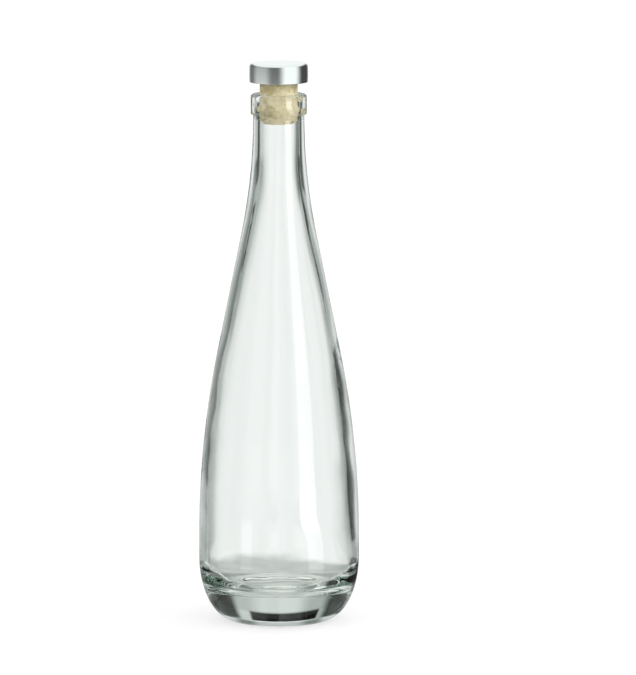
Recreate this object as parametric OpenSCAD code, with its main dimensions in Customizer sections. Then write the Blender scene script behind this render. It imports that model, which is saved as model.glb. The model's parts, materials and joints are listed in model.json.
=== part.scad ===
// Clear glass teardrop bottle with a thick base, closed by a bar-top cork:
// a natural cork shank glued into a plastic core inside a drawn aluminium cap.
// Millimetres, +Z up, origin at the centre of the surface the bottle stands on.
// The stopper is drawn pulled up by pull_gap, so a band of cork shows above the lip.

/* [Bottle body] */
// Height of the glass, from the standing ring to the top of the lip
glass_h = 257.7; // [240:0.1:300]
// Widest diameter of the body
body_d = 78; // [70:0.5:84]
// Thickness of the side wall
wall_t = 3.2; // [2:0.1:4]
// Radius of the long outward curve of the belly
belly_arc_r = 455; // [300:5:520]
// Length of the straight slope between the belly curve and the neck curve
slope_len = 59; // [20:1:90]
// Height at which the upright side ends and the belly starts to narrow
belly_z = 41.6; // [39:0.1:60]

/* [Bottle base] */
// Width that the rounded heel draws in, from the side to the standing ring
heel_w = 17.5; // [8:0.5:22]
// Height of the rounded heel
heel_h = 31; // [15:0.5:36]
// Width of the flat ring that the bottle stands on
foot_w = 2; // [1:0.1:5]
// Height of the shallow push-up under the base
push_up_h = 2; // [0.5:0.1:6]
// Height of the inner floor at its centre
floor_z = 17; // [10:0.5:24]
// Rise of the inner floor at its centre, above the floor's edge
floor_crown = 0.6; // [0.1:0.1:2]
// Width of the rounded corner between the inner floor and the wall
floor_corner_w = 13; // [4:0.5:20]
// Height of that corner
floor_corner_h = 14; // [4:0.5:22]

/* [Bottle neck] */
// Outer diameter of the neck under the lip
neck_d = 24.8; // [23:0.1:26]
// Diameter of the bore that takes the cork
bore_d = 18.5; // [16:0.1:19.5]
// Depth of the straight bore below the top of the lip
bore_depth = 23.7; // [21:0.1:30]
// Diameter of the lip
lip_d = 27.2; // [26:0.1:31]
// Height of the lip
lip_h = 10.1; // [6:0.1:14]
// Rounding of the lip's top outer edge
lip_top_round = 1.5; // [0.3:0.1:2]
// Rounding of the lip's lower outer edge
lip_low_round = 0.7; // [0.2:0.1:1.3]
// Rounding between the neck and the underside of the lip
lip_fillet = 0.3; // [0.1:0.1:0.8]
// Rounding of the mouth's inner edge
mouth_round = 0.9; // [0.2:0.1:1.4]

/* [Cork] */
// Length of the cork shank
cork_len = 22.6; // [18:0.1:26]
// Bevel at the cork's lower end
cork_low_bevel = 2; // [0.5:0.1:3]
// Bevel at the cork's upper end
cork_top_bevel = 0.4; // [0.1:0.1:0.8]

/* [Cap] */
// Diameter of the cap
cap_d = 28.6; // [26:0.1:34]
// Height of the cap
cap_h = 9.4; // [7:0.1:14]
// Thickness of the cap's aluminium shell
shell_t = 0.5; // [0.3:0.05:0.7]
// Width of the cap's rounded top edge
cap_edge_w = 1.2; // [0.8:0.1:2]
// Height of the cap's rounded top edge
cap_edge_h = 1.9; // [0.8:0.1:3]
// Depth of the cork's seat in the plastic core
seat_depth = 2.6; // [1:0.1:4]
// Thickness of the hot-melt adhesive between the cork and the core
glue_t = 0.4; // [0.2:0.1:0.8]

/* [Fits and places] */
// Height of cork that shows between the lip and the cap
pull_gap = 5.6; // [0:0.1:12]
// Radial running clearance of the compressed cork in the bore
cork_clearance = 0.04; // [0.01:0.01:0.1]
// Radial clearance of the plastic core in the shell
core_clearance = 0.05; // [0.01:0.01:0.2]
// Radial clearance of the cork in the core's seat
seat_clearance = 0.15; // [0.05:0.05:0.4]
// Distance that the adhesive stops short of the cork's edge
glue_inset = 0.6; // [0.4:0.1:2]
// Distance of the core's underside above the shell's lower edge
core_setback = 0.3; // [0.1:0.1:0.8]

/* [Hidden] */
$fn = 128;

body_r = body_d / 2;
inner_r = body_r - wall_t;
foot_r = body_r - heel_w;
neck_r = neck_d / 2;
bore_r = bore_d / 2;
lip_r = lip_d / 2;
lip_z = glass_h - lip_h;
// The two roundings under the lip stay within its step out from the neck
lip_step = lip_r - neck_r;
low_round = min(lip_low_round, 0.6 * lip_step);
under_round = min(lip_fillet, 0.3 * lip_step);
neck_top_z = lip_z - under_round;
floor_edge_z = floor_z - floor_crown;

cork_r = bore_r - cork_clearance;
cap_r = cap_d / 2;
cap_z = glass_h + pull_gap;
cap_top_z = cap_z + cap_h;
shell_inner_r = cap_r - shell_t;
shell_inner_top_z = cap_top_z - shell_t;
core_z = cap_z + core_setback;
core_r = shell_inner_r - core_clearance;
seat_r = cork_r + seat_clearance;
seat_top_z = core_z + seat_depth;
cork_top_z = seat_top_z - glue_t;
cork_low_z = cork_top_z - cork_len;
// The inside of the shell's top edge is the outside one, less the shell
inner_edge_w = cap_edge_w - shell_t;
inner_edge_h = cap_edge_h - shell_t;

// Steps in one long curve of the body, and in one small rounding
long_steps = 20;
round_steps = 8;

// Points of an elliptical arc round a centre, from angle a to angle b
function arc(centre, rx, rz, a, b, steps) =
    [for (i = [0:steps]) let (t = a + (b - a) * i / steps)
        [centre[0] + rx * cos(t), centre[1] + rz * sin(t)]];

// Points of a shallow dome, level at the axis at height top and falling in a circular
// arc to height edge at radius r
function crown(top, r, edge, steps) =
    let (rise = top - edge, ball = (r * r + rise * rise) / (2 * rise))
    [for (i = [0:steps]) let (x = r * i / steps)
        [x, top - ball + sqrt(ball * ball - x * x)]];

// A flank leaves [r1, z1] upright, curves inwards with radius first, runs straight for
// len, and curves back to end upright at [r2, z2]. The sum of the two radii and the lean
// of the straight part follow from the ends and the straight length.
function flank(r1, z1, r2, z2, first, len, steps) =
    let (
        w = r1 - r2,
        h = z2 - z1,
        sum = (h * h + w * w - len * len) / (2 * w),
        lean = asin((h * sum + (w - sum) * len) / (sum * sum + len * len)),
        last = sum - first
    )
    concat(
        arc([r1 - first, z1], first, first, 0, lean, steps),
        arc([r2 + last, z2], last, last, 180 + lean, 180, steps)
    );

function reversed(points) = [for (i = [len(points) - 1:-1:0]) points[i]];

// Outside of the glass, from the axis under the base up to the top of the lip
function outer_line() = concat(
    crown(push_up_h, foot_r - foot_w, 0, round_steps),
    arc([foot_r, heel_h], heel_w, heel_h, 270, 360, long_steps),
    flank(body_r, belly_z, neck_r, neck_top_z, belly_arc_r, slope_len, long_steps),
    arc([neck_r + under_round, neck_top_z], under_round, under_round, 180, 90, round_steps),
    arc([lip_r - low_round, lip_z + low_round], low_round, low_round, 270, 360, round_steps),
    arc([lip_r - lip_top_round, glass_h - lip_top_round], lip_top_round, lip_top_round, 0, 90, round_steps)
);

// Inside of the glass, from the axis on the floor up to the mouth
function inner_line() = concat(
    crown(floor_z, inner_r - floor_corner_w, floor_edge_z, round_steps),
    arc([inner_r - floor_corner_w, floor_edge_z + floor_corner_h],
        floor_corner_w, floor_corner_h, 270, 360, long_steps),
    flank(inner_r, belly_z, bore_r, glass_h - bore_depth, belly_arc_r - wall_t, slope_len, long_steps),
    arc([bore_r + mouth_round, glass_h - mouth_round], mouth_round, mouth_round, 180, 90, round_steps)
);

module glass_bottle() {
    color([0.80, 0.87, 0.84, 0.45])
    rotate_extrude()
    polygon(concat(outer_line(), reversed(inner_line())));
}

module cork_shank() {
    color([0.76, 0.69, 0.52])
    rotate_extrude()
    polygon([
        [0, cork_low_z],
        [cork_r - cork_low_bevel, cork_low_z],
        [cork_r, cork_low_z + cork_low_bevel],
        [cork_r, cork_top_z - cork_top_bevel],
        [cork_r - cork_top_bevel, cork_top_z],
        [0, cork_top_z]
    ]);
}

module glue_disc() {
    color([0.90, 0.84, 0.66])
    translate([0, 0, cork_top_z])
    cylinder(r = cork_r - glue_inset, h = glue_t);
}

module cap_core() {
    color([0.10, 0.10, 0.10])
    rotate_extrude()
    polygon(concat(
        [[0, seat_top_z], [seat_r, seat_top_z], [seat_r, core_z], [core_r, core_z]],
        arc([core_r - inner_edge_w, shell_inner_top_z - inner_edge_h],
            inner_edge_w, inner_edge_h, 0, 90, round_steps),
        [[0, shell_inner_top_z]]
    ));
}

module cap_shell() {
    color([0.78, 0.80, 0.80])
    rotate_extrude()
    polygon(concat(
        [[shell_inner_r, cap_z], [cap_r, cap_z]],
        arc([cap_r - cap_edge_w, cap_top_z - cap_edge_h],
            cap_edge_w, cap_edge_h, 0, 90, round_steps),
        [[0, cap_top_z], [0, shell_inner_top_z]],
        arc([shell_inner_r - inner_edge_w, shell_inner_top_z - inner_edge_h],
            inner_edge_w, inner_edge_h, 90, 0, round_steps)
    ));
}

glass_bottle();
cork_shank();
glue_disc();
cap_core();
cap_shell();
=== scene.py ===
"""A clear glass bottle closed by a bar-top cork, dressed for a plain studio picture.

The packed model is the frame. Each piece of glass, cork, plastic and metal is turned
on the bottle's axis from its own outline, in metres, and stands where the frame says.
"""
import json
import math

import bpy
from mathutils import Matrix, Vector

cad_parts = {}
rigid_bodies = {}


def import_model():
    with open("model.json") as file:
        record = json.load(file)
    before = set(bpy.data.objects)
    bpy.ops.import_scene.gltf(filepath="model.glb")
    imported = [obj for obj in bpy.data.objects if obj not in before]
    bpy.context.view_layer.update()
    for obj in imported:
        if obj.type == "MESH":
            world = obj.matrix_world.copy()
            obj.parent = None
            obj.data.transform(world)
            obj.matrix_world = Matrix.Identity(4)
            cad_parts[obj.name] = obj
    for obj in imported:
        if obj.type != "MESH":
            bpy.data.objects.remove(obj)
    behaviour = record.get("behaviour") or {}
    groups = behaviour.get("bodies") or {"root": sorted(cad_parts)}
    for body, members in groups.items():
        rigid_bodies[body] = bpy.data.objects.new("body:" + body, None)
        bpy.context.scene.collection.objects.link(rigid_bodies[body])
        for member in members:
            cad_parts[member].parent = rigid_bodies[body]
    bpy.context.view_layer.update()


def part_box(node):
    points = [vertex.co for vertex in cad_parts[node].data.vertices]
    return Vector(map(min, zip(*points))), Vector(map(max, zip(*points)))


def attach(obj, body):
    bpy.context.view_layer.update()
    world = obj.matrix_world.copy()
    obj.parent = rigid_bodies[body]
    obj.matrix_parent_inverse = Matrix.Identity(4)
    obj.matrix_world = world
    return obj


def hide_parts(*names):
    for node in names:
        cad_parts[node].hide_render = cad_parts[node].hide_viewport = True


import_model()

bl_info = {
    "name": "Bar-Top Cork Bottle",
    "version": (1, 0, 0),
    "blender": (4, 5, 0),
    "location": "View3D > Sidebar > Bottle",
    "description": "Models a clear glass bottle, its cork stopper and a plain studio",
    "category": "Add Mesh",
}

MM = 0.001
GLASS_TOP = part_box("glass_bottle")[1]
CORK_LOW, CORK_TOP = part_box("cork_shank")
GLUE_LOW, GLUE_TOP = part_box("glue_disc")
CORE_LOW, CORE_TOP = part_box("cap_core")
CAP_LOW, CAP_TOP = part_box("cap_shell")


def length(name, description, default):
    """A size in metres, shown in the scene's units."""
    return bpy.props.FloatProperty(
        name=name, description=description, default=default, min=0, precision=5, unit="LENGTH"
    )


def colour(name, description, default):
    """A plain colour."""
    return bpy.props.FloatVectorProperty(
        name=name, description=description, default=default, size=3, min=0, max=1, subtype="COLOR"
    )


def share(name, description, default, top=1):
    """A plain number from 0 to top."""
    return bpy.props.FloatProperty(name=name, description=description, default=default, min=0, max=top)


def angle(name, description, default):
    """An angle, written here in degrees."""
    return bpy.props.FloatProperty(
        name=name, description=description, default=math.radians(default), subtype="ANGLE"
    )


class GlassSettings(bpy.types.PropertyGroup):
    """Sizes and look of the blown glass."""

    body_radius: length("Body radius", "Widest radius of the body", GLASS_TOP.x)
    height: length("Height", "Standing ring to the top of the lip", GLASS_TOP.z)
    wall: length("Wall", "Thickness of the side wall", 3.2 * MM)
    belly_radius: length("Belly curve", "Radius of the long outward curve", 455 * MM)
    belly_start: length("Belly start", "Height at which the belly starts to narrow", 41.6 * MM)
    slope: length("Slope", "Straight slope between belly and neck", 59 * MM)
    heel_width: length("Heel width", "How far the heel draws in", 17.5 * MM)
    heel_height: length("Heel height", "Height of the rounded heel", 31 * MM)
    foot_width: length("Foot width", "Width of the flat standing ring", 2 * MM)
    push_up: length("Push-up", "Height of the hollow under the base", 2 * MM)
    floor: length("Floor", "Height of the inner floor", 17 * MM)
    floor_crown: length("Floor crown", "Rise of the floor at its centre", 0.6 * MM)
    corner_width: length("Corner width", "Width of the floor's rounded corner", 13 * MM)
    corner_height: length("Corner height", "Height of the floor's rounded corner", 14 * MM)
    neck_radius: length("Neck radius", "Outer radius under the lip", 12.4 * MM)
    bore_radius: length("Bore radius", "Radius of the bore", 9.25 * MM)
    bore_depth: length("Bore depth", "Straight bore below the lip's top", 23.7 * MM)
    lip_radius: length("Lip radius", "Radius of the lip", 13.6 * MM)
    lip_height: length("Lip height", "Height of the lip", 10.1 * MM)
    lip_top_round: length("Lip top rounding", "Rounding of the lip's top edge", 1.5 * MM)
    lip_low_round: length("Lip low rounding", "Rounding of the lip's lower edge", 0.7 * MM)
    lip_fillet: length("Lip fillet", "Rounding between neck and lip", 0.3 * MM)
    mouth_round: length("Mouth rounding", "Rounding of the mouth's inner edge", 0.9 * MM)
    ripple: length("Ripple", "Unevenness of the inner wall", 0.5 * MM)
    ripple_size: length("Ripple size", "Width of one unevenness", 24 * MM)
    base_ripple: length("Base ripple", "Further unevenness round the inner floor", 0.6 * MM)
    base_ripple_size: length("Base ripple size", "Width of one unevenness there", 11 * MM)
    base_ripple_top: length("Base ripple top", "Height up to which it has its full strength", 26 * MM)
    heavy_side: length("Heavy side", "Extra thickness of the lower wall on the right", 1.2 * MM)
    heavy_low: length("Heavy side start", "Height at which the extra thickness starts", 24 * MM)
    heavy_high: length("Heavy side end", "Height at which the extra thickness ends", 138 * MM)
    tint: colour("Tint", "Colour that thick glass takes", (0.62, 0.73, 0.67))
    tint_density: share("Tint density", "Absorption for each metre", 4, 100)
    refraction: share("Refraction", "Index of refraction of the glass", 1.52, 3)


class CorkSettings(bpy.types.PropertyGroup):
    """Sizes and look of the cork shank."""

    low_bevel: length("Lower bevel", "Bevel at the lower end", 2 * MM)
    top_bevel: length("Upper bevel", "Bevel at the upper end", 0.4 * MM)
    light: colour("Light cork", "Colour of the pale grains", (0.90, 0.81, 0.53))
    middle: colour("Middle cork", "Colour between the grains", (0.50, 0.43, 0.215))
    dark: colour("Dark cork", "Colour of the pores", (0.26, 0.19, 0.10))
    contact: length("Contact", "Unevenness of the side, part of which presses on the bore", 0.25 * MM)
    contact_size: length("Contact size", "Width of one uneven patch", 4 * MM)
    contact_level: share("Contact level", "Share of the unevenness that lies inwards", 0.38)


class CapSettings(bpy.types.PropertyGroup):
    """Sizes and look of the cap, its core and the adhesive."""

    shell: length("Shell", "Thickness of the aluminium", 0.5 * MM)
    edge_width: length("Edge width", "Width of the rounded top edge", 1.2 * MM)
    edge_height: length("Edge height", "Height of the rounded top edge", 1.9 * MM)
    side_crown: length("Side crown", "How far the drawn side bows outwards", 0.08 * MM)
    seat_radius: length("Seat radius", "Radius of the cork's seat", 9.36 * MM)
    metal: colour("Aluminium", "Colour of the polished aluminium", (0.86, 0.93, 0.90))
    metal_roughness: share("Aluminium roughness", "Roughness of the polished aluminium", 0.17)
    plastic: colour("Core plastic", "Colour of the moulded core", (0.025, 0.025, 0.027))
    adhesive: colour("Adhesive", "Colour of the set hot melt", (0.80, 0.70, 0.48))


class StudioSettings(bpy.types.PropertyGroup):
    """The plain studio and its camera."""

    camera_distance: length("Camera distance", "From the bottle's axis, along the floor", 3.3)
    camera_height: length("Camera height", "Above the floor", 0.576)
    camera_lens: bpy.props.FloatProperty(
        name="Lens", description="Focal length in millimetres", default=365.2, min=1
    )
    aim_right: length("Aim right", "How far right of the axis the camera aims", 0.0190)
    aim_height: length("Aim height", "Height that the camera aims at", 0.1386)
    floor_radius: length("Floor radius", "Radius of the floor", 14)
    floor_grey: share("Floor grey", "How pale the floor is", 0.45)
    floor_lift: share("Floor lift", "Light that is added to make the floor white in the picture", 0.59)
    glass_light: colour("Glass light", "Colour of the screens seen through the glass", (0.932, 0.965, 0.947))
    glass_shade: colour("Glass shade", "Colour of the dark flags seen through the glass", (0.80, 0.95, 0.86))
    softbox_at: angle("Softbox", "Softbox direction, to the right of the camera", 43)


SETTINGS = {
    "bottle_glass": GlassSettings,
    "bottle_cork": CorkSettings,
    "bottle_cap": CapSettings,
    "bottle_studio": StudioSettings,
}


# Outlines: lists of (radius, height) points

def arc(centre, radii, start, end, steps):
    """Points of an elliptical arc, from start to end in degrees."""
    turns = [math.radians(start + (end - start) * i / steps) for i in range(steps + 1)]
    return [(centre[0] + radii[0] * math.cos(t), centre[1] + radii[1] * math.sin(t)) for t in turns]


def dome(top, radius, edge, steps):
    """Points of a shallow arc, level at the axis and falling to height edge at radius."""
    rise = top - edge
    ball = (radius**2 + rise**2) / (2 * rise)
    across = [radius * i / steps for i in range(steps + 1)]
    return [(x, top - ball + math.sqrt(ball**2 - x**2)) for x in across]


def between(start, end, gaps):
    """Points that divide a straight line into equal gaps, without its two ends."""
    return [
        (start[0] + (end[0] - start[0]) * i / gaps, start[1] + (end[1] - start[1]) * i / gaps)
        for i in range(1, gaps)
    ]


def flank(low, high, first, straight, steps):
    """An upright start, a curve inwards of radius first, a straight, and a curve back to upright."""
    width, rise = low[0] - high[0], high[1] - low[1]
    both = (rise**2 + width**2 - straight**2) / (2 * width)
    lean = math.degrees(math.asin((rise * both + (width - both) * straight) / (both**2 + straight**2)))
    last = both - first
    belly = arc((low[0] - first, low[1]), (first, first), 0, lean, steps)
    neck = arc((high[0] + last, high[1]), (last, last), 180 + lean, 180, steps)
    return belly + between(belly[-1], neck[0], gaps=12) + neck


def radius_at(side, height):
    """Radius of a rising outline at a height, or at its nearer end where the height lies beyond it."""
    radius = side[0][0]
    for (r0, z0), (r1, z1) in zip(side, side[1:]):
        if z0 <= height <= z1:
            return r0 + (r1 - r0) * (height - z0) / (z1 - z0)
        if height > z1:
            radius = r1
    return radius


def outer_side(glass):
    """Outside of the glass from the start of the belly up to the lip's underside."""
    neck_top = glass.height - glass.lip_height - glass.lip_fillet
    return flank((glass.body_radius, glass.belly_start), (glass.neck_radius, neck_top),
                 glass.belly_radius, glass.slope, steps=24)


def outer_outline(glass):
    """Outside of the glass, from the axis under the base up to the top of the lip."""
    radius = glass.body_radius
    foot = radius - glass.heel_width
    lip_low = glass.height - glass.lip_height
    fillet, low, top = glass.lip_fillet, glass.lip_low_round, glass.lip_top_round
    return (
        dome(glass.push_up, foot - glass.foot_width, 0, steps=12)
        + arc((foot, glass.heel_height), (glass.heel_width, glass.heel_height), 270, 360, steps=32)
        + between((radius, glass.heel_height), (radius, glass.belly_start), gaps=4)
        + outer_side(glass)
        + arc((glass.neck_radius + fillet, lip_low - fillet), (fillet, fillet), 180, 90, steps=6)
        + arc((glass.lip_radius - low, lip_low + low), (low, low), 270, 360, steps=8)
        + arc((glass.lip_radius - top, glass.height - top), (top, top), 0, 90, steps=10)
    )


def inner_outline(glass):
    """Inside of the glass, from the axis on the floor up to the mouth."""
    inner = glass.body_radius - glass.wall
    corner = (glass.corner_width, glass.corner_height)
    floor_edge = glass.floor - glass.floor_crown
    corner_top = floor_edge + glass.corner_height
    mouth = glass.mouth_round
    return (
        dome(glass.floor, inner - glass.corner_width, floor_edge, steps=14)
        + arc((inner - glass.corner_width, corner_top), corner, 270, 360, steps=26)
        + between((inner, corner_top), (inner, glass.belly_start), gaps=4)
        + flank((inner, glass.belly_start), (glass.bore_radius, glass.height - glass.bore_depth),
                glass.belly_radius - glass.wall, glass.slope, steps=24)
        + arc((glass.bore_radius + mouth, glass.height - mouth), (mouth, mouth), 180, 90, steps=8)
    )


def glass_outline(glass):
    """Outside up from the axis under the base, over the lip, and inside down to the axis."""
    return outer_outline(glass) + inner_outline(glass)[::-1]


def cork_outline(cork):
    """A straight shank with a bevel at each end, closed at the axis."""
    radius, low, top = CORK_TOP.x, CORK_LOW.z, CORK_TOP.z
    ring = radius * 0.4
    low_edge, top_edge = (radius - cork.low_bevel, low), (radius - cork.top_bevel, top)
    side_low, side_top = (radius, low + cork.low_bevel), (radius, top - cork.top_bevel)
    return (
        [(0, low), (ring, low), low_edge]
        + between(low_edge, side_low, gaps=2)
        + [side_low] + between(side_low, side_top, gaps=40) + [side_top]
        + [top_edge, (ring, top), (0, top)]
    )


def shell_outline(cap):
    """The drawn cup: outside up and over to the axis, then inside back down to the rim."""
    outer, low, top = CAP_TOP.x, CAP_LOW.z, CAP_TOP.z
    inner, inner_top = outer - cap.shell, top - cap.shell
    rim = cap.shell / 2
    drawn_in = outer - cap.side_crown
    edge = (cap.edge_width, cap.edge_height)
    inner_edge = (cap.edge_width - cap.shell, cap.edge_height - cap.shell)
    flat = [(outer * part, top) for part in (0.75, 0.5, 0.25, 0.0)]
    side_low, side_top = low + rim, top - cap.edge_height
    middle, half = (side_low + side_top) / 2, (side_top - side_low) / 2
    rows = 10
    from_middle = [2 * i / rows - 1 for i in range(1, rows)]
    side = [(outer - cap.side_crown * part**2, middle + half * part) for part in from_middle]
    return (
        arc((drawn_in - rim, side_low), (rim, rim), 180, 360, steps=10)
        + side
        + arc((drawn_in - cap.edge_width, side_top), edge, 0, 90, steps=14)
        + flat
        + [(0.0, inner_top), (inner * 0.5, inner_top)]
        + arc((inner - inner_edge[0], inner_top - inner_edge[1]), inner_edge, 90, 0, steps=8)
        + [(inner, low + rim)]
    )


def core_outline(cap):
    """The moulded plug that fills the cup, with the cork's seat in its underside."""
    outer, low, top = CORE_TOP.x, CORE_LOW.z, CORE_TOP.z
    edge = (cap.edge_width - cap.shell, cap.edge_height - cap.shell)
    soft = 0.25 * MM
    seat, seat_top = cap.seat_radius, GLUE_TOP.z
    return (
        [(0.0, seat_top), (seat - soft, seat_top), (seat, seat_top - soft), (seat, low + soft)]
        + arc((seat + soft, low + soft), (soft, soft), 180, 270, steps=4)
        + arc((outer - soft, low + soft), (soft, soft), 270, 360, steps=4)
        + arc((outer - edge[0], top - edge[1]), edge, 0, 90, steps=8)
        + [(0.0, top)]
    )


def glue_outline():
    """A thin round film with a rounded edge."""
    radius, low, top = GLUE_TOP.x, GLUE_LOW.z, GLUE_TOP.z
    half = (top - low) / 2
    rim = arc((radius - half, low + half), (half, half), 270, 450, steps=8)
    return [(0.0, low)] + rim + [(0.0, top)]


# Modelling

def fade(value, start, end):
    """0 at start and 1 at end, in proportion between them and no further."""
    return min(max((value - start) / (end - start), 0), 1)


def deselect_all():
    """Leaves nothing selected, so that an operator acts on its own piece alone."""
    for item in bpy.context.view_layer.objects:
        item.select_set(False)


def turned(name, outline, steps):
    """A closed shell turned on the Z axis from one vertex, extruded along the outline and spun."""
    deselect_all()
    radius, height = outline[0]
    bpy.ops.mesh.primitive_plane_add(size=MM, location=(radius, 0, height))
    piece = bpy.context.active_object
    piece.name = piece.data.name = name
    bpy.ops.object.mode_set(mode="EDIT")
    bpy.ops.mesh.merge(type="CENTER")
    for (r0, z0), (r1, z1) in zip(outline, outline[1:]):
        bpy.ops.mesh.extrude_vertices_move(TRANSFORM_OT_translate={"value": (r1 - r0, 0, z1 - z0)})
    bpy.ops.mesh.select_all(action="SELECT")
    bpy.ops.mesh.spin(steps=steps, angle=2 * math.pi, center=(0, 0, 0), axis=(0, 0, 1))
    bpy.ops.mesh.select_all(action="SELECT")
    bpy.ops.mesh.remove_doubles(threshold=0.001 * MM)
    bpy.ops.mesh.normals_make_consistent(inside=False)
    bpy.ops.mesh.select_all(action="DESELECT")
    bpy.ops.object.mode_set(mode="OBJECT")
    bpy.ops.object.transform_apply(location=True, rotation=True, scale=True)
    return piece


def apply_modifier(piece, kind, **settings):
    """Adds one modifier, sets it, and applies it to the piece's mesh."""
    bpy.context.view_layer.objects.active = piece
    bpy.ops.object.modifier_add(type=kind)
    modifier = piece.modifiers[-1]
    for name, value in settings.items():
        setattr(modifier, name, value)
    bpy.ops.object.modifier_apply(modifier=modifier.name)


def vertex_group(piece, name, weight_of):
    """A vertex group whose weights come from each vertex's place."""
    group = piece.vertex_groups.new(name=name)
    for vertex in piece.data.vertices:
        weight = weight_of(vertex.co)
        if weight > 0:
            group.add([vertex.index], weight, "REPLACE")


def thicken(piece, name, weight_of, depth):
    """Moves vertices outwards along their normals, as much as their weights say."""
    vertex_group(piece, name, weight_of)
    apply_modifier(piece, "DISPLACE", mid_level=0, strength=depth, vertex_group=name)


def roughen(piece, name, weight_of, height, size, level=0.5):
    """Moves vertices along their normals by a smooth cloudy pattern, as much as their weights say."""
    vertex_group(piece, name, weight_of)
    clouds = bpy.data.textures.new(name, "CLOUDS")
    clouds.noise_scale = size
    clouds.noise_depth = 1
    apply_modifier(piece, "DISPLACE", texture=clouds, texture_coords="LOCAL", mid_level=level,
                   strength=height, vertex_group=name)


def smooth(piece, degrees):
    """Smooth shading, with edges sharper than this left crisp."""
    deselect_all()
    piece.select_set(True)
    bpy.context.view_layer.objects.active = piece
    bpy.ops.object.shade_smooth_by_angle(angle=math.radians(degrees))


def dress(piece, material, body, node):
    """Gives a piece its material, and its place in the frame."""
    piece.data.materials.clear()
    piece.data.materials.append(material)
    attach(piece, body)
    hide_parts(node)


# Materials

class Wire:
    """A node's output, for use in Python expressions that add Math nodes."""

    def __init__(self, shader, socket):
        self.shader = shader
        self.socket = socket

    def maths(self, operation, *others, clamp=False):
        """A Math node on this value and the others."""
        values = dict(enumerate((self, *others)))
        return self.shader.add("ShaderNodeMath", {"operation": operation, "use_clamp": clamp}, values)

    def __add__(self, other):
        return self.maths("ADD", other)

    __radd__ = __add__

    def __sub__(self, other):
        return self.maths("SUBTRACT", other)

    def __rsub__(self, other):
        return (self * -1) + other

    def __mul__(self, other):
        return self.maths("MULTIPLY", other)

    __rmul__ = __mul__

    def __pow__(self, other):
        return self.maths("POWER", other)

    def clamped(self):
        """The same value, kept between 0 and 1."""
        return self.maths("ADD", 0.0, clamp=True)

    def step(self, low, high):
        """0 below low, 1 above high, and a smooth rise between."""
        inputs = {"Value": self, "From Min": low, "From Max": high}
        return self.shader.add("ShaderNodeMapRange", {"interpolation_type": "SMOOTHSTEP"}, inputs)


class Shader:
    """The node tree of a material or a world."""

    def __init__(self, owner):
        owner.use_nodes = True
        self.tree = owner.node_tree
        self.tree.nodes.clear()

    def node(self, kind, settings=None, inputs=None):
        """Adds any node: its settings are set first, then its inputs' values or links."""
        node = self.tree.nodes.new(kind)
        for name, value in (settings or {}).items():
            setattr(node, name, value)
        for name, value in (inputs or {}).items():
            if isinstance(value, Wire):
                self.tree.links.new(value.socket, node.inputs[name])
            else:
                node.inputs[name].default_value = value
        return node

    def add(self, kind, settings=None, inputs=None, output=0):
        """Adds a node and returns one of its outputs."""
        return Wire(self, self.node(kind, settings, inputs).outputs[output])

    def output(self, node, name):
        """One named output of a node."""
        return Wire(self, node.outputs[name])

    def place(self, coordinates="Object"):
        """The place on the piece, or with Generated, in a world, the direction looked in."""
        return self.add("ShaderNodeTexCoord", output=coordinates)

    def axes(self, vector):
        """The x, y and z of a vector."""
        split = self.node("ShaderNodeSeparateXYZ", inputs={"Vector": vector})
        return [Wire(self, socket) for socket in split.outputs]

    def stretched(self, vector, scale):
        """A vector, scaled along each axis."""
        return self.add("ShaderNodeMapping", inputs={"Vector": vector, "Scale": scale})

    def cells(self, vector, scale):
        """A node of cells, with the distance to each cell's point and each cell's own colour."""
        inputs = {"Vector": vector, "Scale": scale, "Randomness": 1.0}
        return self.node("ShaderNodeTexVoronoi", {"feature": "F1"}, inputs)

    def noise(self, vector, scale, detail=2.0, roughness=0.5):
        """Soft clouds, of about scale to the metre."""
        inputs = {"Vector": vector, "Scale": scale, "Detail": detail, "Roughness": roughness}
        return self.add("ShaderNodeTexNoise", inputs=inputs)

    def mix_colour(self, factor, a, b):
        """A colour between a and b."""
        def four(value):
            return value if isinstance(value, Wire) else (*value, 1)
        inputs = {0: factor, 6: four(a), 7: four(b)}
        return self.add("ShaderNodeMix", {"data_type": "RGBA"}, inputs, output=2)

    def bump(self, height, distance, strength):
        """Normals that show a height, of distance in metres."""
        inputs = {"Height": height, "Distance": distance, "Strength": strength}
        return self.add("ShaderNodeBump", inputs=inputs)

    def principled(self, inputs):
        """The surface of nearly every material."""
        return self.add("ShaderNodeBsdfPrincipled", inputs=inputs)

    def finish(self, surface, volume=None):
        """Ends a material."""
        inputs = {"Surface": surface}
        if volume:
            inputs["Volume"] = volume
        self.node("ShaderNodeOutputMaterial", inputs=inputs)


def new_material(name):
    """An empty material and its node tree."""
    material = bpy.data.materials.new(name)
    return material, Shader(material)


def clear_glass(glass):
    """Clear glass whose thick parts take a faint green-grey tint."""
    material, shader = new_material("clear_glass")
    surface = shader.principled({
        "Base Color": (1, 1, 1, 1),
        "Roughness": 0.0,
        "IOR": glass.refraction,
        "Transmission Weight": 1.0,
    })
    tint = {"Color": (*glass.tint, 1), "Density": glass.tint_density}
    volume = shader.add("ShaderNodeVolumeAbsorption", inputs=tint)
    shader.finish(surface, volume)
    return material


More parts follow.
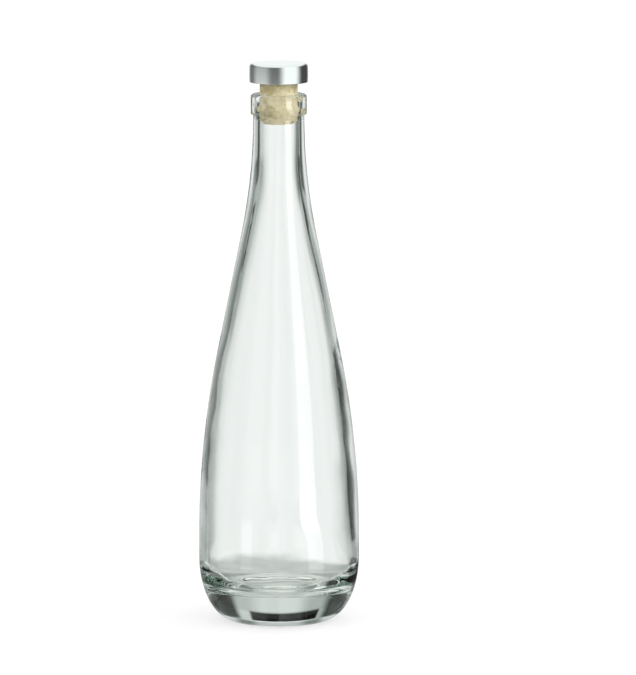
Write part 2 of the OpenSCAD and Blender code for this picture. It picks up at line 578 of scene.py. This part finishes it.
def natural_cork(cork):
    """Natural cork: pale grains, darker seams between them, broad blotches and small deep pores."""
    material, shader = new_material("natural_cork")
    place = shader.place()
    drift = shader.noise(place, 700, 3)
    grains = shader.cells(place, 620)
    tone = shader.add("ShaderNodeSeparateColor", inputs={"Color": shader.output(grains, "Color")})
    seams = shader.output(grains, "Distance").step(0.45, 0.85)
    blotches = shader.noise(place, 100)
    pale = (tone * 0.14 + blotches * 0.86).step(0.34, 0.60) * 0.8 + drift * 0.2
    body = shader.mix_colour(pale, cork.middle, cork.light)
    seamed = shader.mix_colour(seams * 0.22, body, cork.middle)
    flattened = shader.stretched(place, (260, 260, 620))
    pits = shader.output(shader.cells(flattened, 1.0), "Distance")
    rough_edge = shader.noise(place, 1900, 3)
    pores = 1 - (pits + rough_edge * 0.22).step(0.17, 0.27)
    coloured = shader.mix_colour(pores * 0.85, seamed, cork.dark)
    height = (1 - seams) * 0.25 + drift * 0.35 - pores * 1.2
    surface = shader.principled({
        "Base Color": coloured,
        "Roughness": 0.82 - pale * 0.08,
        "Specular IOR Level": 0.28,
        "Normal": shader.bump(height, 0.12 * MM, 0.7),
    })
    shader.finish(surface)
    return material


def polished_aluminium(cap):
    """Polished aluminium: a fine grain round the side and turned rings on the top."""
    material, shader = new_material("cap_aluminium")
    place = shader.place()
    x, y, z = shader.axes(place)
    radius = (x * x + y * y) ** 0.5
    around = y.maths("ARCTAN2", x)
    fineness = 5200
    lines = {"X": around * 0.9, "Y": radius * fineness, "Z": z * fineness}
    spun = shader.add("ShaderNodeCombineXYZ", inputs=lines)
    grain = shader.noise(spun, 1.0, 3, 0.6)
    clouds = shader.noise(place, 210, 3, 0.6)
    wear = shader.noise(place, 900, 4, 0.65).step(0.62, 0.8)
    tone = (grain * 0.5 + clouds * 0.5).step(0.2, 0.8)
    dull = tuple(0.93 * part for part in cap.metal)
    added_on_average = 0.06
    roughness = grain * 0.07 + clouds * 0.04 + wear * 0.05 + (cap.metal_roughness - added_on_average)
    surface = shader.principled({
        "Base Color": shader.mix_colour(tone, dull, cap.metal),
        "Metallic": 1.0,
        "Roughness": roughness,
        "Normal": shader.bump(grain, 0.004 * MM, 0.6),
    })
    shader.finish(surface)
    return material


def moulded_plastic(cap):
    """Black moulded plastic with a fine spark-eroded texture."""
    material, shader = new_material("core_plastic")
    place = shader.place()
    fine = shader.noise(place, 2600, 3, 0.6)
    flow = shader.noise(place, 150, 2)
    lighter = tuple(part + 0.02 for part in cap.plastic)
    surface = shader.principled({
        "Base Color": shader.mix_colour(fine * 0.5 + flow * 0.5, cap.plastic, lighter),
        "Roughness": fine * 0.2 + 0.42,
        "Normal": shader.bump(fine, 0.02 * MM, 0.5),
    })
    shader.finish(surface)
    return material


def set_adhesive(cap):
    """Set hot-melt adhesive, waxy and a little cloudy."""
    material, shader = new_material("hot_melt")
    place = shader.place()
    cloudy = shader.noise(place, 300, 3)
    darker = tuple(0.8 * part for part in cap.adhesive)
    surface = shader.principled({
        "Base Color": shader.mix_colour(cloudy, darker, cap.adhesive),
        "Roughness": cloudy * 0.15 + 0.3,
        "Normal": shader.bump(cloudy, 0.05 * MM, 0.5),
    })
    shader.finish(surface)
    return material


# Studio

TO_DEGREES = 180 / math.pi
SCREEN_STEP = 90
LOW_STEP = 45


def bearing(x, y):
    """Degrees to the right of the camera's side of the studio, from -180 to 180."""
    return x.maths("ARCTAN2", y * -1) * TO_DEGREES


def band(value, low, high, soft):
    """1 between low and high, fading to 0 over soft degrees outside them."""
    return value.step(low - soft, low) * (1 - value.step(high, high + soft))


def seen_in_metal(bearings, heights, softbox):
    """What the polished cap shows: a wide softbox on the right, a grey wall on the left, dark flags."""
    key = band(bearings, softbox - 11, softbox + 24, 36) * 1.08
    wall = band(bearings, -90, -58, 34) * 0.38
    dim = band(bearings, -140, 10, 30) * 0.13 + 0.06
    back = bearings.maths("ABSOLUTE").step(140.0, 170.0) * (heights.step(-2.0, 3.0) * 0.33 + 0.62)
    darker_upwards = 1.25 - heights.step(-14.0, 4.0) * 0.55
    around = key + (wall + dim) * darker_upwards + back
    ceiling = heights.step(14.0, 34.0)
    return around * (1 - ceiling) + ceiling * 1.02


def seen_in_glass_surface(bearings, heights, softbox):
    """What mirrors off the glass: a narrow softbox on the right, a small light on the left, dark sides."""
    strength = heights.step(-13.0, -10.0) * 1.1 + band(heights, -7, -3, 1) * 4 + 1.3
    turned_right = (1 - heights.step(-10.0, -5.0)) * 13
    key = band(bearings - turned_right, softbox - 10, softbox + 9, 5) * strength
    left = band(bearings, -54, -42, 5) * band(heights, -11, -7, 1.5) * 1.4
    sides = band(bearings.maths("ABSOLUTE"), 108, 160, 14)
    walls = (1 - sides * 0.8) * 0.45
    return key * band(heights, -34, 40, 10) + left + walls


def screens_and_flags(bearings, heights):
    """White screens with dark flags between them, which repeat at each SCREEN_STEP.

    In the front right quarter they are turned by half a step. Below the horizon the flags are soft,
    and paler at some heights. Above it each darkens in two steps. Far down, paler flags stand
    between narrower screens, which repeat at each LOW_STEP.
    """
    half_step = SCREEN_STEP / 2
    turn = band(bearings, 2, 88, 2) * half_step
    rightwards = (bearings + turn).maths("WRAP", half_step, -half_step)
    leftwards = rightwards * -1
    right_flag = rightwards.step(6.0, 24.0) * 0.68 + rightwards.step(27.0, 38.0) * 0.20
    right_flag = right_flag * (1 - band(heights, -14, -9, 2) * 0.4 - band(heights, -4, 2, 2) * 0.13)
    left_flag = leftwards.step(11.0, 33.0) * (0.94 - band(heights, -1.5, 3, 2) * 0.4)
    high_right_flag = rightwards.step(8.0, 20.0) * 0.35 + rightwards.step(25.0, 36.0) * 0.6
    high_left_flag = leftwards.step(8.0, 20.0) * 0.3 + leftwards.step(25.0, 32.0) * 0.68
    high = heights.step(2.0, 7.0)
    screens = 1 - (right_flag + left_flag) * (1 - high) - (high_right_flag + high_left_flag) * high
    from_middle = bearings.maths("WRAP", LOW_STEP / 2, -LOW_STEP / 2).maths("ABSOLUTE")
    low_screens = 1 - from_middle.step(11.0, 20.0) * 0.6
    low = 1 - heights.step(-13.0, -11.0)
    return screens * (1 - low) + low_screens * low


def seen_through_glass(bearings, heights):
    """What clear glass shows behind it: the screens, less a few shades, and a paler ceiling."""
    round_back = bearings.maths("WRAP", 360.0, 0.0)
    deep = band(heights, -42, -20, 8) * 0.4 + band(heights, -53, -46, 3) * 0.35
    low_at_back = band(round_back, 150, 210, 15) * deep
    all_round = band(heights, 6, 19, 3) * 0.22
    gap_at_back = band(round_back, 163, 205, 3) * band(heights, 21, 28.5, 2.5)
    right_side = band(bearings, 78, 122, 10) * band(heights, -26, 18, 6) * 0.8
    level = screens_and_flags(bearings, heights)
    for shade in (low_at_back, all_round, gap_at_back, right_side):
        level = level * (1 - shade)
    ceiling = heights.step(38.0, 50.0) * 0.35 + 1
    return level * ceiling


def paint_floor(studio):
    """A white floor that keeps a soft shadow."""
    material, shader = new_material("studio_floor")
    path = shader.node("ShaderNodeLightPath")
    lift = shader.output(path, "Is Camera Ray") * studio.floor_lift
    grey = (studio.floor_grey,) * 3
    paper = shader.add("ShaderNodeBsdfDiffuse", inputs={"Color": (*grey, 1)})
    glow = shader.add("ShaderNodeEmission", inputs={"Color": (1, 1, 1, 1), "Strength": lift})
    shader.finish(shader.add("ShaderNodeAddShader", inputs={0: paper, 1: glow}))
    material.cycles.emission_sampling = "NONE"
    return material


def light_world(studio):
    """White to the camera, soft light for matt surfaces, and screens and flags for metal and glass."""
    world = bpy.data.worlds.new("studio_world")
    bpy.context.scene.world = world
    shader = Shader(world)
    x, y, z = shader.axes(shader.place("Generated"))
    bearings = bearing(x, y)
    heights = z.maths("ARCSINE") * TO_DEGREES
    path = shader.node("ShaderNodeLightPath")
    camera = shader.output(path, "Is Camera Ray")
    glossy = shader.output(path, "Is Glossy Ray")
    through = shader.output(path, "Is Transmission Ray")
    scattered = shader.output(path, "Diffuse Depth").clamped()
    sharp = shader.output(path, "Is Singular Ray")
    matt = (1 - (camera + glossy + through).clamped() + scattered).clamped()
    # What is mirrored, sharply by the glass and softly by the cap
    softbox = math.degrees(studio.softbox_at)
    mirrored = seen_in_glass_surface(bearings, heights, softbox) * sharp
    polished = seen_in_metal(bearings, heights, softbox) * (1 - sharp)
    bounced = (glossy - through).clamped()
    # What matt surfaces get: light from all round, more from the front right, less through glass
    all_round, from_right, lost_in_glass = 0.9, 0.8, 0.1
    right = band(bearings, 5, 85, 70) * (1 - heights.step(20.0, 80.0))
    soft = (right * from_right + all_round) * (1 - through * lost_in_glass)
    # What clear glass lets through, tinted in its dark parts
    behind = seen_through_glass(bearings, heights)
    filtered = shader.mix_colour(behind.clamped(), studio.glass_shade, studio.glass_light)
    tint = shader.mix_colour(through * (1 - matt), (1, 1, 1), filtered)
    seen = camera + bounced * (mirrored + polished) + through * behind
    light = seen * (1 - matt) + matt * soft
    background = shader.add("ShaderNodeBackground", inputs={"Color": tint, "Strength": light})
    shader.node("ShaderNodeOutputWorld", inputs={"Surface": background})


def set_camera(studio):
    """A long lens in front of the bottle, a little above it."""
    data = bpy.data.cameras.new("studio_camera")
    data.lens = studio.camera_lens
    data.clip_end = 50
    camera = bpy.data.objects.new("studio_camera", data)
    bpy.context.scene.collection.objects.link(camera)
    camera.location = (0, -studio.camera_distance, studio.camera_height)
    run = math.hypot(studio.aim_right, studio.camera_distance)
    fall = math.atan2(studio.camera_height - studio.aim_height, run)
    turn = math.atan2(studio.aim_right, studio.camera_distance)
    camera.rotation_euler = (math.pi / 2 - fall, 0, -turn)
    bpy.context.scene.camera = camera


# Operators and panel

class BOTTLE_OT_blow_glass(bpy.types.Operator):
    """Models the glass bottle"""

    bl_idname = "bottle.blow_glass"
    bl_label = "Glass Bottle"

    def execute(self, context):
        glass = context.scene.bottle_glass
        piece = turned("bottle", glass_outline(glass), steps=128)
        inner_radius = glass.body_radius - glass.wall
        floor, bore_low = glass.floor, glass.height - glass.bore_depth
        outside = outer_side(glass)

        def on_inside(co, limit):
            """Whether a vertex lies within the middle of the wall, and nearer the axis than limit."""
            return math.hypot(co.x, co.y) < min(limit, radius_at(outside, co.z) - glass.wall / 2)

        def wall(co):
            """The whole inner wall, fading out at the floor and below the bore."""
            above_floor = fade(co.z, floor + MM, floor + 7 * MM)
            below_bore = fade(co.z, bore_low, bore_low - 12 * MM)
            return above_floor * below_bore if on_inside(co, inner_radius + MM) else 0

        def base(co):
            """The wall just above the inner floor."""
            above_floor = fade(co.z, floor + 1.5 * MM, floor + 4.5 * MM)
            low = fade(co.z, glass.base_ripple_top + 10 * MM, glass.base_ripple_top)
            return above_floor * low if on_inside(co, inner_radius + 0.5 * MM) else 0

        def heavy(co):
            """The lower wall, fading out to the left, at the base and towards the shoulder."""
            radius, rise, fall = math.hypot(co.x, co.y), 24 * MM, 36 * MM
            lower = fade(co.z, glass.heavy_low, glass.heavy_low + rise)
            lower *= fade(co.z, glass.heavy_high, glass.heavy_high - fall)
            eased = lower * lower * (3 - 2 * lower)
            right = max(co.x / radius, 0) if radius > MM else 0
            return eased * right if on_inside(co, glass.body_radius) else 0

        thicken(piece, "heavy_side", heavy, glass.heavy_side)
        roughen(piece, "inner_wall", wall, glass.ripple, glass.ripple_size)
        roughen(piece, "inner_base", base, glass.base_ripple, glass.base_ripple_size)
        smooth(piece, degrees=60)
        dress(piece, clear_glass(glass), "bottle", "glass_bottle")
        return {"FINISHED"}


class BOTTLE_OT_cut_cork(bpy.types.Operator):
    """Models the cork shank"""

    bl_idname = "bottle.cut_cork"
    bl_label = "Cork Shank"

    def execute(self, context):
        cork = context.scene.bottle_cork
        piece = turned("cork", cork_outline(cork), steps=96)

        def side(co):
            """The shank's side below the cap."""
            outermost = fade(math.hypot(co.x, co.y), CORK_TOP.x - 0.2 * MM, CORK_TOP.x)
            return outermost * fade(co.z, CORE_LOW.z, CORE_LOW.z - MM)

        roughen(piece, "cork_side", side, cork.contact, cork.contact_size, cork.contact_level)
        smooth(piece, degrees=35)
        dress(piece, natural_cork(cork), "stopper", "cork_shank")
        return {"FINISHED"}


class BOTTLE_OT_press_cap(bpy.types.Operator):
    """Models the cap's shell, its core and the adhesive"""

    bl_idname = "bottle.press_cap"
    bl_label = "Cap"

    def execute(self, context):
        cap = context.scene.bottle_cap
        shell = turned("cap", shell_outline(cap), steps=128)
        smooth(shell, degrees=35)
        dress(shell, polished_aluminium(cap), "stopper", "cap_shell")
        core = turned("core", core_outline(cap), steps=96)
        smooth(core, degrees=35)
        dress(core, moulded_plastic(cap), "stopper", "cap_core")
        glue = turned("adhesive", glue_outline(), steps=64)
        smooth(glue, degrees=35)
        dress(glue, set_adhesive(cap), "stopper_lift", "glue_disc")
        return {"FINISHED"}


class BOTTLE_OT_set_studio(bpy.types.Operator):
    """Sets the floor, the screens, the light and the camera"""

    bl_idname = "bottle.set_studio"
    bl_label = "Studio"

    def execute(self, context):
        studio = context.scene.bottle_studio
        set_camera(studio)
        light_world(studio)
        deselect_all()
        just_below = (0, 0, -0.05 * MM)
        bpy.ops.mesh.primitive_circle_add(
            vertices=96, radius=studio.floor_radius, fill_type="NGON", location=just_below)
        floor = bpy.context.active_object
        floor.name = "studio_floor"
        floor.data.materials.append(paint_floor(studio))
        floor.visible_glossy = False
        floor.visible_transmission = False
        scene = context.scene
        scene.view_settings.view_transform = "Standard"
        # Light that is trapped in the thick base needs many bounces to come out
        scene.cycles.max_bounces = 96
        scene.cycles.glossy_bounces = 96
        scene.cycles.transmission_bounces = 48
        return {"FINISHED"}


OPERATORS = (BOTTLE_OT_set_studio, BOTTLE_OT_blow_glass, BOTTLE_OT_cut_cork, BOTTLE_OT_press_cap)


class BOTTLE_PT_sidebar(bpy.types.Panel):
    """The bottle's steps and their settings"""

    bl_idname = "BOTTLE_PT_sidebar"
    bl_label = "Bottle"
    bl_space_type = "VIEW_3D"
    bl_region_type = "UI"
    bl_category = "Bottle"

    def draw(self, context):
        for step in OPERATORS:
            self.layout.operator(step.bl_idname)
        for name, group in SETTINGS.items():
            box = self.layout.box()
            box.label(text=group.__doc__)
            for setting in group.__annotations__:
                box.prop(getattr(context.scene, name), setting)


def register():
    for kind in (*SETTINGS.values(), *OPERATORS, BOTTLE_PT_sidebar):
        bpy.utils.register_class(kind)
    for name, group in SETTINGS.items():
        setattr(bpy.types.Scene, name, bpy.props.PointerProperty(type=group))


def unregister():
    for name in SETTINGS:
        delattr(bpy.types.Scene, name)
    for kind in (BOTTLE_PT_sidebar, *OPERATORS, *SETTINGS.values()):
        bpy.utils.unregister_class(kind)


def main():
    """Makes the studio and the bottle."""
    register()
    bpy.ops.bottle.set_studio()
    bpy.ops.bottle.blow_glass()
    bpy.ops.bottle.cut_cork()
    bpy.ops.bottle.press_cap()


if __name__ == "__main__":
    main()
